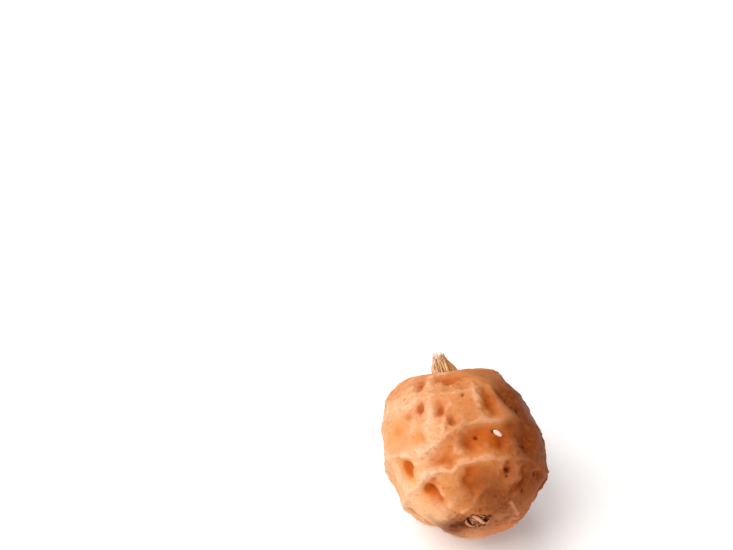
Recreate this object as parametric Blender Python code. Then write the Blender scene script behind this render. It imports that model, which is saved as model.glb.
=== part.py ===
"""A dried tiger nut lying on its side.

One grown tuber, shrivelled into rings, ridges and hollows, with the fibre stub of its runner
standing in the socket at the stalk end and a knot of curled root fibres standing in the scar at
the root end.
Places on the skin are given by two angles: polar, from 0 at the stalk end to 180 at the root end,
and lon, round the tuber's own axis from the side that faces up and to the front.
"""

import math
import random

import bmesh
import bpy
import numpy as np
from mathutils import Vector, noise

MM = 0.001

# Driving sizes
BODY_RADIUS = 6.4 * MM
REST_HEIGHT = 6.2 * MM
ROOT_DROP = math.radians(16)
FACE_TURN = math.radians(-9.5)
GAP = 0.1 * MM

SOCKET_RADIUS = 1.26 * MM
SOCKET_DEPTH = 0.7 * MM
STALK_END_HEIGHT = 5.72 * MM
STALK_LENGTH = 2.85 * MM
STALK_LEAN = 0.5 * MM
STALK_FIBRES = 24

SCAR_RADIUS = 0.76 * MM
SCAR_DEPTH = 0.5 * MM
SCAR_HEIGHT = 6.0 * MM
SCAR_LEAN = math.radians(14.8)
SCAR_LON = math.radians(-17)
LIP_WIDTH = 0.2 * MM
ROOT_FIBRES = 8
ROOT_SWIRL = math.radians(75)

COLUMNS = 88
SEED = 11
STALK_SEED = 12
ROOT_SEED = 2
SLIVER = 0.001 * MM

# The tuber's own axes: stalk end, root end, the side that faces up, and the side to its right
ROOT_WAY = Vector((0, -math.cos(ROOT_DROP), -math.sin(ROOT_DROP)))
STALK_WAY = -ROOT_WAY
UP_SIDE = Vector((0, -math.sin(ROOT_DROP), math.cos(ROOT_DROP)))
RIGHT_SIDE = Vector((1, 0, 0))
FACE = UP_SIDE * math.cos(FACE_TURN) + RIGHT_SIDE * math.sin(FACE_TURN)
SIDE = RIGHT_SIDE * math.cos(FACE_TURN) - UP_SIDE * math.sin(FACE_TURN)
MIDDLE = Vector((0.1531 * MM, -0.9360 * MM, REST_HEIGHT))
DOWN = Vector((0, 0, -1))

ROOT_POLAR = 171.0
LEAN_FROM = 148.0

# Ring lines round the body, as (lon, polar) points
RINGS = (
    ((0, 13),),
    ((-150, 40), (-110, 45), (-75, 47), (-45, 43), (-18, 45), (8, 41), (32, 44), (62, 41), (95, 44),
     (140, 38)),
    ((-165, 70), (-128, 65), (-92, 71), (-72, 64), (-57, 63), (-32, 69), (-26, 65), (-12, 67), (8, 70),
     (21, 67), (45, 70), (70, 66), (103, 73), (146, 66)),
    ((-160, 97), (-122, 90), (-90, 94), (-68, 89), (-51, 95), (-31, 105), (-20, 102), (2, 95), (21, 95),
     (40, 93), (56, 97), (80, 92), (112, 99), (148, 93)),
    ((-166, 119), (-130, 124), (-98, 118), (-70, 120), (-47, 120), (-33, 117), (-20, 119), (-13, 121),
     (-7, 117), (2, 119), (20, 119), (50, 119), (70, 123), (92, 119), (125, 115), (160, 122)),
    ((-150, 150), (-110, 147), (-77, 150), (-25, 153), (6, 154), (34, 148), (66, 153), (100, 149),
     (135, 154), (170, 149)),
    ((0, ROOT_POLAR),),
)
ROWS = (4, 9, 9, 8, 11, 4)

# Height of each ring's crest in mm, as (lon, height) points
CRESTS = (
    ((0, 0.02),),
    ((-150, 0.05), (-80, 0.02), (-20, 0.04), (30, 0.02), (120, 0.06)),
    ((-160, 0.06), (-100, 0.10), (-74, 0.12), (-45, 0.15), (-30, 0.15), (-20, 0.09), (-4, 0.07), (6, 0.01),
     (64, 0.01), (110, 0.10), (150, 0.04)),
    ((-150, 0.10), (-95, 0.07), (-62, 0.10), (-44, 0.09), (-30, 0.01), (-16, 0.05), (2, 0.12), (44, 0.13),
     (60, 0.06), (100, 0.12), (140, 0.04)),
    ((-165, 0.06), (-120, 0.13), (-80, 0.10), (-50, 0.17), (-26, 0.19), (-12, 0.17), (22, 0.11), (34, 0.03),
     (60, 0.06), (90, 0.12), (135, 0.05)),
    ((-120, 0.06), (-60, 0.02), (0, 0.02), (80, 0.05)),
    ((0, 0.02),),
)
CREST_HALF_WIDTH = (3.8, 1.8)
CREST_TIP = 0.6

# How deep the skin falls below each ring before it rises to the next one, as (lon, depth in mm) points
FALLS = (
    ((-70, 0.02), (-40, 0.05), (0, 0.08), (50, 0.05)),
    ((-74, 0.06), (-50, 0.08), (-30, 0.04), (-8, 0.05), (6, 0.12), (24, 0.06), (52, 0.08)),
    ((-76, 0.06), (-62, 0.12), (-42, 0.26), (-27, 0.06), (-14, 0.03), (4, 0.05), (16, 0.02), (30, 0.14),
     (44, 0.06), (60, 0.12), (76, 0.05)),
    ((-72, 0.14), (-57, 0.03), (-48, 0.18), (-38, 0.16), (-22, 0.24), (-10, 0.20), (-3, 0.14), (6, 0.40),
     (20, 0.34), (34, 0.36), (43, 0.14), (52, 0.30), (64, 0.16), (76, 0.04), (90, 0.14)),
    ((-78, 0.12), (-58, 0.08), (-44, 0.34), (-34, 0.26), (-22, 0.10), (-10, 0.16), (2, 0.22), (14, 0.16),
     (28, 0.14), (42, 0.12), (52, 0.24), (68, 0.14), (82, 0.06)),
    ((-50, 0.05), (0, 0.02), (40, 0.05)),
)
HIDDEN_GAP = (9, 17)
HIDDEN_DEEP = (0.22, 0.48)
HIDDEN_SHALLOW = (0.02, 0.12)
HIDDEN_SHARE = (0.3, 0.9, 1.0, 1.0, 0.9, 0.08)
FALL_SKEW = 0.7

# Hollows, or swellings where the depth is below zero: polar, lon, half length along the axis, half
# width, turn of the length towards the right in degrees, depth in mm
HOLLOWS = (
    (50, -24, 7, 5.0, 0, 0.32),
    (42, -56, 8, 3.5, 10, 0.26),
    (51, 2, 5, 8.0, 0, 0.30),
    (63, 10, 4, 5.0, 0, 0.15),
    (74, -24, 4.5, 3.0, 0, 0.26),
    (79, -9, 4.5, 3.6, 10, 0.34),
    (88, -3, 6.5, 3.0, 0, 0.36),
    (78, -46, 8, 9.0, 0, 0.14),
    (75, -33, 4, 4.0, 0, 0.12),
    (93, -25, 4.5, 5.5, 0, 0.30),
    (81, 25, 11, 6.5, 6, 0.38),
    (86, 46, 4, 3.5, 0, 0.16),
    (104, 4, 6, 4.0, 0, 0.20),
    (108, 26, 5, 4.5, 0, 0.28),
    (110, 51, 10, 8.0, 0, 0.44),
    (107, -48, 9, 4.2, -12, 0.46),
    (100, -47, 3, 5.0, 0, 0.20),
    (113, -18, 4.5, 8.0, 0, 0.26),
    (125, -40, 5, 6.0, 0, 0.44),
    (132, -37, 7, 3.8, 10, 0.22),
    (139, -28, 7, 9.0, 0, -0.30),
    (129, -17, 8, 7.0, 0, -0.10),
    (124, 4, 5, 9.0, 0, 0.10),
    (130, -3, 7, 4.5, 0, 0.14),
    (128, 32, 6, 3.2, 0, 0.22),
    (135, 48, 9, 3.0, 12, 0.42),
    (126, 70, 4, 5.0, 0, 0.32),
    (125, -92, 4, 8.0, 0, 0.24),
    (143, 30, 6, 12.0, 0, 0.12),
    (148, -15, 4, 6.0, 0, -0.14),
    (158, 38, 5, 22.0, 0, -0.18),
    (127, -106, 4, 8.0, 0, -0.40),
    (138, -114, 6, 12.0, 0, 0.56),
)
HIDDEN_HOLLOWS = 30
HIDDEN_HOLLOW_SIZE = (3.5, 9.0)
HIDDEN_HOLLOW_DEPTH = (0.10, 0.34)

# Ridges that leave the rings: height in mm, half width in degrees, (polar, lon) points
RIDGES = (
    (0.17, 2.0, ((136, 13), (140, 5), (144, -3), (148, -12), (149, -22))),
    (0.14, 2.6, ((72, 16), (82, 18), (91, 17))),
    (0.12, 2.6, ((66, 31), (75, 33), (83, 35), (91, 38))),
    (-0.20, 2.2, ((71, 38), (79, 39), (87, 42), (92, 48), (96, 55))),
    (-0.16, 1.8, ((123, -4), (128, -3), (134, -4), (140, -5))),
    (0.08, 2.0, ((123, 25), (129, 27))),
    (0.12, 2.0, ((72, -16), (81, -18), (88, -20), (94, -17))),
    (0.13, 1.8, ((80, -4), (86, -7), (93, -9))),
    (0.11, 2.4, ((124, 58), (122, 72), (127, 85))),
    (0.08, 2.8, ((106, -6), (118, -5))),
    (0.10, 2.6, ((96, 43), (106, 43), (118, 46))),
    (0.10, 3.4, ((92, -60), (106, -58), (118, -60))),
    (0.08, 3.0, ((140, 36), (134, 40), (124, 42))),
)

# Broad swellings and flats: polar, lon, share of the body's radius, half width
LUMPS = (
    (37, -57, 0.145, 25),
    (70, -88, -0.050, 18),
    (78, 86, -0.130, 33),
    (100, -94, -0.070, 28),
    (10, -15, -0.110, 25),
    (180, 0, -0.050, 26),
    (139, -116, -0.060, 20),
    (126, 106, -0.018, 22),
    (42, 60, 0.036, 18),
    (66, 165, 0.030, 30),
    (88, -30, 0.015, 16),
)

NOISE_SIZE = 1.7 * MM
NOISE_HEIGHT = 0.10 * MM
REST_CLEAR = (13.0, 27.0)
SWAY = 7.0
RING_SWAY = 32.0
BENDS = ((0.075, 5.0), (0.026, 13.0))
BEND_SHIFTS = ((1, 0, 7), (4, 9, 2), (8, 3, 5))

SKIN_COLOUR = (0.66, 0.30, 0.12)
FIBRE_COLOUR = (0.80, 0.60, 0.33)
ROOT_COLOUR = (0.62, 0.40, 0.26)


def smooth(x):
    """A smooth step from 0 to 1 as x goes from 0 to 1."""
    x = np.clip(x, 0.0, 1.0)
    return x * x * (3 - 2 * x)


def directions(polar, lon):
    """Unit vectors for arrays of polar and lon, in degrees, on a tuber that doesn't lean."""
    p, o = np.radians(polar), np.radians(lon)
    across = np.outer(np.cos(o), FACE) + np.outer(np.sin(o), SIDE)
    return np.cos(p)[:, None] * np.array(STALK_WAY) + np.sin(p)[:, None] * across


def lean(ways, share):
    """Turns directions towards the scar by that share of SCAR_LEAN."""
    towards = FACE * math.cos(SCAR_LON) + SIDE * math.sin(SCAR_LON)
    axis = np.array(ROOT_WAY.cross(towards))
    angle = SCAR_LEAN * share[:, None]
    along = (ways @ axis)[:, None] * axis
    return along + (ways - along) * np.cos(angle) + np.cross(axis, ways) * np.sin(angle)


def along_ring(points, lon):
    """Value at each lon between points given as (lon, value), its corners rounded a little."""
    lons, values = zip(*points)
    turned = [np.interp(lon + shift, lons, values, period=360) for shift in (-3, -1, 1, 3)]
    return sum(turned) / len(turned)


def whole_round(falls, draw, share):
    """The depths placed by hand, then drawn ones, by turns deep and shallow, until the band closes."""
    placed = list(falls)
    end = placed[0][0] + 360
    lon = placed[-1][0] + draw.uniform(*HIDDEN_GAP)
    ranges = [HIDDEN_DEEP, HIDDEN_SHALLOW]
    while lon < end - HIDDEN_GAP[0]:
        placed.append((lon, share * draw.uniform(*ranges[0])))
        lon += draw.uniform(*HIDDEN_GAP)
        ranges.reverse()
    return placed


def hidden_hollows(draw):
    """Hollows on the sides away from the face, at drawn places."""
    made = []
    for _ in range(HIDDEN_HOLLOWS):
        polar = draw.uniform(30, 150)
        lon = draw.uniform(95, 275)
        length = draw.uniform(*HIDDEN_HOLLOW_SIZE)
        width = length * draw.uniform(0.4, 0.9)
        made.append((polar, lon, length, width, draw.uniform(-40, 40), draw.uniform(*HIDDEN_HOLLOW_DEPTH)))
    return made


def body_pattern():
    """How deep the skin falls in each band, and every hollow."""
    draw = random.Random(SEED)
    bands = [whole_round(falls, draw, share) for falls, share in zip(FALLS, HIDDEN_SHARE)]
    return bands, list(HOLLOWS) + hidden_hollows(draw)


def hollow_depth(hollows, ways):
    """Depth in metres of the hollows at each direction."""
    total = np.zeros(len(ways))
    for polar, lon, length, width, turn, depth in hollows:
        centre = directions(np.array([polar]), np.array([lon]))[0]
        along = np.array(ROOT_WAY) - centre * (centre @ np.array(ROOT_WAY))
        along /= np.linalg.norm(along)
        across = np.cross(centre, along)
        angle = math.radians(turn)
        c, s = math.cos(angle), math.sin(angle)
        along, across = along * c - across * s, across * c + along * s
        a = np.degrees(np.arctan2(ways @ along, ways @ centre)) / length
        b = np.degrees(np.arctan2(ways @ across, ways @ centre)) / width
        total += depth * MM * np.exp(-((a * a + b * b) ** 0.95)) * (ways @ centre > 0)
    return total


def crest(off, half_width):
    """A crease's height at degrees from its line: sharp on the line, falling off on both sides."""
    return np.exp((CREST_TIP - np.hypot(off, CREST_TIP)) / half_width)


def ridge_height(ways):
    """Height in metres of the ridges that leave the rings, at each direction."""
    total = np.zeros(len(ways))
    for height, half_width, line in RIDGES:
        corners = directions(*np.array(line, float).T)
        nearest = np.full(len(ways), np.inf)
        for start, end in zip(corners, corners[1:]):
            step = end - start
            share = np.clip((ways - start) @ step / (step @ step), 0, 1)
            nearest = np.minimum(nearest, np.linalg.norm(ways - start - share[:, None] * step, axis=1))
        total += height * MM * crest(np.degrees(nearest), half_width)
    return total


def lump_share(ways):
    """Share of the body's radius that the broad swellings and flats add at each direction."""
    total = np.zeros(len(ways))
    for polar, lon, share, width in LUMPS:
        centre = directions(np.array([polar]), np.array([lon]))[0]
        angle = np.degrees(np.arccos(np.clip(ways @ centre, -1, 1)))
        total += share * np.exp(-((angle / width) ** 2))
    return total


def field(ways, scale, shift=(0, 0, 0)):
    """Soft noise from about -1 to 1 at each direction."""
    return np.array([noise.noise(place) for place in (ways * scale + np.array(shift)).tolist()])


def main_relief(polar, lon, ways, bands, hollows):
    """Height of the rings, ridges and hollows over the plain body."""
    lines = [along_ring(ring, lon) for ring in RINGS]
    bend = sum(size * np.stack([field(ways, scale, shift) for shift in BEND_SHIFTS], axis=1)
               for size, scale in BENDS)
    bent = ways + bend
    bent /= np.linalg.norm(bent, axis=1)[:, None]
    swayed = lon + SWAY * field(ways, 2.6, (3, 1, 7))
    polar = polar + RING_SWAY * bend[:, 0]
    relief = np.zeros(len(polar))
    for band, falls in enumerate(bands):
        share = np.clip((polar - lines[band]) / (lines[band + 1] - lines[band]), 0, 1)
        relief -= np.sin(np.pi * share ** FALL_SKEW) * along_ring(falls, swayed) * MM
    for line, heights in zip(lines, CRESTS):
        off = polar - line
        above, below = CREST_HALF_WIDTH
        relief += along_ring(heights, lon) * MM * crest(off, np.where(off < 0, above, below))
    relief += NOISE_HEIGHT * field(ways, BODY_RADIUS / NOISE_SIZE) + ridge_height(bent)
    return relief - hollow_depth(hollows, bent)


def rest_fade(ways):
    """0 on the spot that the nut rests on, 1 away from it."""
    from_rest = np.degrees(np.arccos(np.clip(ways @ np.array(DOWN), -1, 1)))
    return smooth((from_rest - REST_CLEAR[0]) / (REST_CLEAR[1] - REST_CLEAR[0]))


def skin_row(band, share, lon, bands, hollows):
    """Points of one row round the body, that share of the way from one ring to the next."""
    start, end = along_ring(RINGS[band], lon), along_ring(RINGS[band + 1], lon)
    polar = start + (end - start) * share
    towards_scar = smooth((polar - LEAN_FROM) / (ROOT_POLAR - LEAN_FROM))
    ways = lean(directions(polar, lon), towards_scar)
    relief = main_relief(polar, lon, ways, bands, hollows)
    radius = BODY_RADIUS * (1 + lump_share(ways)) + relief * rest_fade(ways)
    return np.array(MIDDLE) + ways * radius[:, None]


def round_row(way, height, radius, lon, share_of_lean):
    """Points of an uneven circle round an axis, at a height from the body's middle."""
    across = np.outer(np.cos(np.radians(lon)), FACE) + np.outer(np.sin(np.radians(lon)), SIDE)
    across = lean(across, np.full(len(lon), share_of_lean))
    uneven = 1 + 0.07 * np.sin(np.radians(3 * lon + 40)) + 0.04 * np.sin(np.radians(7 * lon))
    return np.array(MIDDLE) + np.array(way) * height + across * (radius * uneven)[:, None]


def scar_way():
    """Direction from the body's middle to the root scar."""
    return Vector(lean(np.array([ROOT_WAY]), np.array([1.0]))[0])


def tuber_rows():
    """Every row of the tuber's grid, from the socket's rim to the scar's rim."""
    lon = np.arange(COLUMNS) * 360.0 / COLUMNS - 180
    bands, hollows = body_pattern()
    scar = scar_way()
    rows = [
        round_row(STALK_WAY, STALK_END_HEIGHT - SOCKET_DEPTH, SOCKET_RADIUS, lon, 0),
        round_row(STALK_WAY, STALK_END_HEIGHT, SOCKET_RADIUS, lon, 0),
        round_row(STALK_WAY, STALK_END_HEIGHT, SOCKET_RADIUS + LIP_WIDTH, lon, 0),
    ]
    for band, count in enumerate(ROWS):
        for i in range(count):
            rows.append(skin_row(band, i / count, lon, bands, hollows))
    rows += [
        skin_row(len(ROWS) - 1, 1.0, lon, bands, hollows),
        round_row(scar, SCAR_HEIGHT, SCAR_RADIUS, lon, 1),
        round_row(scar, SCAR_HEIGHT - SCAR_DEPTH, SCAR_RADIUS, lon, 1),
    ]
    return rows


def grid_mesh(name, rows, first, last):
    """A closed mesh from rows of points, closed at both ends by a fan to one point."""
    bm = bmesh.new()
    loops = [[bm.verts.new(point) for point in row] for row in rows]
    ends = bm.verts.new(first), bm.verts.new(last)
    count = len(rows[0])
    for i in range(count):
        j = (i + 1) % count
        bm.faces.new((ends[0], loops[0][j], loops[0][i]))
        bm.faces.new((ends[1], loops[-1][i], loops[-1][j]))
        for upper, lower in zip(loops, loops[1:]):
            bm.faces.new((upper[i], upper[j], lower[j], lower[i]))
    bmesh.ops.recalc_face_normals(bm, faces=bm.faces)
    mesh = bpy.data.meshes.new(name)
    bm.to_mesh(mesh)
    bm.free()
    return mesh


def tube_mesh(name, points, radii, sides):
    """A closed tube with a pointed far end through points, tapering by radii."""
    points = [Vector(p) for p in points]
    bm = bmesh.new()
    loops = []
    u = (points[1] - points[0]).orthogonal()
    for i, (point, radius) in enumerate(zip(points, radii)):
        way = (points[min(i + 1, len(points) - 1)] - points[max(i - 1, 0)]).normalized()
        u = (u - way * u.dot(way)).normalized()
        v = way.cross(u)
        turns = [2 * math.pi * k / sides for k in range(sides)]
        loops.append([bm.verts.new(point + (u * math.cos(a) + v * math.sin(a)) * radius) for a in turns])
    for upper, lower in zip(loops, loops[1:]):
        for i in range(sides):
            j = (i + 1) % sides
            bm.faces.new((upper[i], upper[j], lower[j], lower[i]))
    bm.faces.new(loops[0])
    bm.faces.new(loops[-1])
    bmesh.ops.recalc_face_normals(bm, faces=bm.faces)
    mesh = bpy.data.meshes.new(name)
    bm.to_mesh(mesh)
    bm.free()
    return mesh


def material(name, colour, roughness):
    made = bpy.data.materials.new(name)
    made.use_nodes = True
    shader = made.node_tree.nodes["Principled BSDF"]
    shader.inputs["Base Color"].default_value = (*colour, 1)
    shader.inputs["Roughness"].default_value = roughness
    shader.inputs["Metallic"].default_value = 0
    return made


def add(mesh, finish):
    """Puts a mesh in the scene as an object of the same name."""
    obj = bpy.data.objects.new(mesh.name, mesh)
    bpy.context.scene.collection.objects.link(obj)
    mesh.materials.append(finish)
    return obj


def fill_pockets(mesh):
    """Deletes every shell but the largest, as those are pockets between crossing fibres, and slivers."""
    bm = bmesh.new()
    bm.from_mesh(mesh)
    left, shells = set(bm.faces), []
    while left:
        shell, ahead = set(), [left.pop()]
        while ahead:
            face = ahead.pop()
            shell.add(face)
            near = {other for edge in face.edges for other in edge.link_faces} & left
            left -= near
            ahead.extend(near)
        shells.append(shell)
    shells.sort(key=len)
    for shell in shells[:-1]:
        bmesh.ops.delete(bm, geom=list(shell), context="FACES")
    bmesh.ops.triangulate(bm, faces=bm.faces)
    bmesh.ops.dissolve_degenerate(bm, dist=SLIVER, edges=bm.edges)
    bm.to_mesh(mesh)
    bm.free()


def fused(core, fibres):
    """One object from a core and the fibres that stand in it."""
    helpers = bpy.data.collections.new(core.name + "_fibres")
    for obj in fibres:
        bpy.context.scene.collection.objects.unlink(obj)
        helpers.objects.link(obj)
    bpy.context.scene.collection.children.link(helpers)
    union = core.modifiers.new("fibres", "BOOLEAN")
    union.operation = "UNION"
    union.operand_type = "COLLECTION"
    union.collection = helpers
    union.solver = "MANIFOLD"
    bpy.context.view_layer.update()
    graph = bpy.context.evaluated_depsgraph_get()
    joined = bpy.data.meshes.new_from_object(core.evaluated_get(graph), depsgraph=graph)
    fill_pockets(joined)
    core.modifiers.clear()
    core.data = joined
    for obj in fibres:
        bpy.data.objects.remove(obj)
    bpy.data.collections.remove(helpers)
    return core


def make_tuber(finish):
    """The ringed body, with its socket, its scar and the flat spot that it rests on."""
    rows = [np.maximum(row, (-1, -1, 0)) for row in tuber_rows()]
    first = MIDDLE + STALK_WAY * (STALK_END_HEIGHT - SOCKET_DEPTH)
    last = MIDDLE + scar_way() * (SCAR_HEIGHT - SCAR_DEPTH)
    mesh = grid_mesh("tuber", rows, first, last)
    mesh.shade_smooth()
    mesh.set_sharp_from_angle(angle=math.radians(50))
    return add(mesh, finish)


def make_stalk_tuft(finish):
    """The torn stub of the runner: a tapered core with fibres standing out of it."""
    base = MIDDLE + STALK_WAY * (STALK_END_HEIGHT - SOCKET_DEPTH + GAP)
    plug = SOCKET_RADIUS * 0.9 - GAP
    depth = SOCKET_DEPTH - GAP

    def centre(share):
        return base + STALK_WAY * (depth + STALK_LENGTH * share) - SIDE * STALK_LEAN * share ** 1.6

    points = [base, centre(0), centre(0.3), centre(0.55), centre(0.75), centre(0.9)]
    widths = (plug, plug, plug * 0.88, plug * 0.66, plug * 0.42, plug * 0.22)
    core = tube_mesh("stalk_tuft", points, widths, 16)
    draw = random.Random(STALK_SEED)
    fibres = []
    for i in range(STALK_FIBRES):
        turn = 2 * math.pi * i / STALK_FIBRES + draw.uniform(-0.08, 0.08)
        out = FACE * math.cos(turn) + SIDE * math.sin(turn)
        start = plug * draw.uniform(0.90, 0.96)
        length = draw.uniform(0.78, 1.0)
        splay = plug * draw.uniform(0.16, 0.36)
        points, radii = [], []
        for step in range(7):
            t = step / 6
            reach = start * (1 - t ** 2.4) + splay * t ** 2.4
            along = centre(length * t) if step else base + STALK_WAY * 0.3 * MM
            points.append(along + out * reach)
            radii.append((0.13 - 0.08 * t) * MM)
        fibres.append(add(tube_mesh(f"stalk_fibre_{i}", points, radii, 4), finish))
    return fused(add(core, finish), fibres)


def make_root_tuft(finish):
    """Curled root fibres on a small plug in the scar."""
    way = scar_way()
    base = MIDDLE + way * (SCAR_HEIGHT - SCAR_DEPTH + GAP)
    plug = SCAR_RADIUS * 0.89 - GAP
    top = SCAR_DEPTH - 2 * GAP
    core = tube_mesh("root_tuft", [base, base + way * top], (plug, plug * 0.9), 12)
    across = FACE - way * FACE.dot(way)
    across.normalize()
    other = way.cross(across)
    draw = random.Random(ROOT_SEED)
    fibres = []
    for i in range(ROOT_FIBRES):
        start = 2 * math.pi * i / ROOT_FIBRES + draw.uniform(-0.06, 0.06)
        reach = plug * draw.uniform(0.60, 0.68)
        rise = draw.uniform(0.38, 0.72) * MM
        points, radii = [], []
        for step in range(7):
            t = step / 6
            turn = start + ROOT_SWIRL * t ** 1.5
            out = across * math.cos(turn) + other * math.sin(turn)
            height = top * 0.4 + rise * math.sin(t * 2.2)
            points.append(base + way * height + out * (reach * (1 - 0.3 * t * t)))
            radii.append((0.10 - 0.05 * t) * MM)
        fibres.append(add(tube_mesh(f"root_fibre_{i}", points, radii, 4), finish))
    return fused(add(core, finish), fibres)


def main():
    for obj in list(bpy.data.objects):
        bpy.data.objects.remove(obj)
    make_tuber(material("tuber_skin", SKIN_COLOUR, 0.5))
    make_stalk_tuft(material("stalk_fibre", FIBRE_COLOUR, 0.65))
    make_root_tuft(material("root_fibre", ROOT_COLOUR, 0.7))


main()
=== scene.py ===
"""A dried tiger nut lying on its side on a white table.

The skin repeats the solid's rings, ridges and hollows from the same sizes and adds fine folds, eyes
and pores. Places on the skin are given by two angles: polar, from 0 at the stalk end to 180 at the
root end, and lon, round the tuber's own axis from the side that faces up and to the front.
"""

import math
import random

import bpy
import numpy as np
from bpy.props import FloatProperty, FloatVectorProperty, IntProperty, PointerProperty
from mathutils import Euler, Matrix, Vector, noise


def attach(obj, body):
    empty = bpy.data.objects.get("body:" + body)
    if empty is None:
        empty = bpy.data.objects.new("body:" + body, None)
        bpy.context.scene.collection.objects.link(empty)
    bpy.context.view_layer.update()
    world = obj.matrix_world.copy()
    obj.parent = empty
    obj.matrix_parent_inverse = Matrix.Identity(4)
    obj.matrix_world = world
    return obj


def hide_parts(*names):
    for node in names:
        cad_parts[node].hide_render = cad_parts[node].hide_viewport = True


bl_info = {
    "name": "Dried tiger nut",
    "version": (1, 0, 0),
    "blender": (4, 5, 0),
    "location": "View3D > Sidebar > Tiger nut",
    "description": "Grows the skin, the stalk fibres and the root fibres of a dried tiger nut",
    "category": "Object",
}

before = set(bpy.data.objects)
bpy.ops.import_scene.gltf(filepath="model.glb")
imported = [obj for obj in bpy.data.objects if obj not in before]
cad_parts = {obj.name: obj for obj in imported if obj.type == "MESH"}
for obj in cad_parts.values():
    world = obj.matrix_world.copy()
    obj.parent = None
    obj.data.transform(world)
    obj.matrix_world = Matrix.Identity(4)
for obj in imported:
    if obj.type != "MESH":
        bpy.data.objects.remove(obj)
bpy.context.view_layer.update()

MM = 0.001

# The tuber's sizes, as in its solid
BODY_RADIUS = 6.4 * MM
REST_HEIGHT = 6.2 * MM
ROOT_DROP = math.radians(16)
FACE_TURN = math.radians(-9.5)
GAP = 0.1 * MM
SOCKET_RADIUS = 1.26 * MM
SOCKET_DEPTH = 0.7 * MM
STALK_END_HEIGHT = 5.72 * MM
STALK_LENGTH = 2.85 * MM
STRAND_LEAN = 0.2 * MM
SCAR_RADIUS = 0.76 * MM
SCAR_DEPTH = 0.5 * MM
SCAR_HEIGHT = 6.0 * MM
SCAR_LEAN = math.radians(14.8)
SCAR_LON = math.radians(-17)
LIP_WIDTH = 0.2 * MM
# The pit in the scar, from its rim down: height over the scar, radius
PIT = ((0.02 * MM, SCAR_RADIUS + 0.08 * MM), (-0.02 * MM, SCAR_RADIUS), (-0.2 * MM, SCAR_RADIUS * 0.94),
       (-0.38 * MM, SCAR_RADIUS * 0.9), (-SCAR_DEPTH, SCAR_RADIUS * 0.8), (-SCAR_DEPTH, SCAR_RADIUS * 0.4))
PIT_UNEVENNESS = 1.4
PIT_SHAKE = 0.10 * MM
SEED = 11

ROOT_WAY = Vector((0, -math.cos(ROOT_DROP), -math.sin(ROOT_DROP)))
STALK_WAY = -ROOT_WAY
UP_SIDE = Vector((0, -math.sin(ROOT_DROP), math.cos(ROOT_DROP)))
RIGHT_SIDE = Vector((1, 0, 0))
FACE = UP_SIDE * math.cos(FACE_TURN) + RIGHT_SIDE * math.sin(FACE_TURN)
SIDE = RIGHT_SIDE * math.cos(FACE_TURN) - UP_SIDE * math.sin(FACE_TURN)
MIDDLE = Vector((0.1531 * MM, -0.9360 * MM, REST_HEIGHT))
DOWN = Vector((0, 0, -1))

ROOT_POLAR = 171.0
LEAN_FROM = 148.0

# Ring lines round the body, as (lon, polar) points
RINGS = (
    ((0, 13),),
    ((-150, 40), (-110, 45), (-75, 47), (-45, 43), (-18, 45), (8, 41), (32, 44), (62, 41), (95, 44),
     (140, 38)),
    ((-165, 70), (-128, 65), (-92, 71), (-72, 64), (-57, 63), (-32, 69), (-26, 65), (-12, 67), (8, 70),
     (21, 67), (45, 70), (70, 66), (103, 73), (146, 66)),
    ((-160, 97), (-122, 90), (-90, 94), (-68, 89), (-51, 95), (-31, 105), (-20, 102), (2, 95), (21, 95),
     (40, 93), (56, 97), (80, 92), (112, 99), (148, 93)),
    ((-166, 119), (-130, 124), (-98, 118), (-70, 120), (-47, 120), (-33, 117), (-20, 119), (-13, 121),
     (-7, 117), (2, 119), (20, 119), (50, 119), (70, 123), (92, 119), (125, 115), (160, 122)),
    ((-150, 150), (-110, 147), (-77, 150), (-25, 153), (6, 154), (34, 148), (66, 153), (100, 149),
     (135, 154), (170, 149)),
    ((0, ROOT_POLAR),),
)
BAND_ROWS = (20, 45, 45, 40, 55, 20)

# Height of each ring's crest in mm, as (lon, height) points
CRESTS = (
    ((0, 0.02),),
    ((-150, 0.05), (-80, 0.02), (-20, 0.04), (30, 0.02), (120, 0.06)),
    ((-160, 0.06), (-100, 0.10), (-74, 0.12), (-45, 0.15), (-30, 0.15), (-20, 0.09), (-4, 0.07), (6, 0.01),
     (64, 0.01), (110, 0.10), (150, 0.04)),
    ((-150, 0.10), (-95, 0.07), (-62, 0.10), (-44, 0.09), (-30, 0.01), (-16, 0.05), (2, 0.12), (44, 0.13),
     (60, 0.06), (100, 0.12), (140, 0.04)),
    ((-165, 0.06), (-120, 0.13), (-80, 0.10), (-50, 0.17), (-26, 0.19), (-12, 0.17), (22, 0.11), (34, 0.03),
     (60, 0.06), (90, 0.12), (135, 0.05)),
    ((-120, 0.06), (-60, 0.02), (0, 0.02), (80, 0.05)),
    ((0, 0.02),),
)
CREST_HALF_WIDTH = (3.8, 1.8)
CREST_TIP = 0.6

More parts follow.
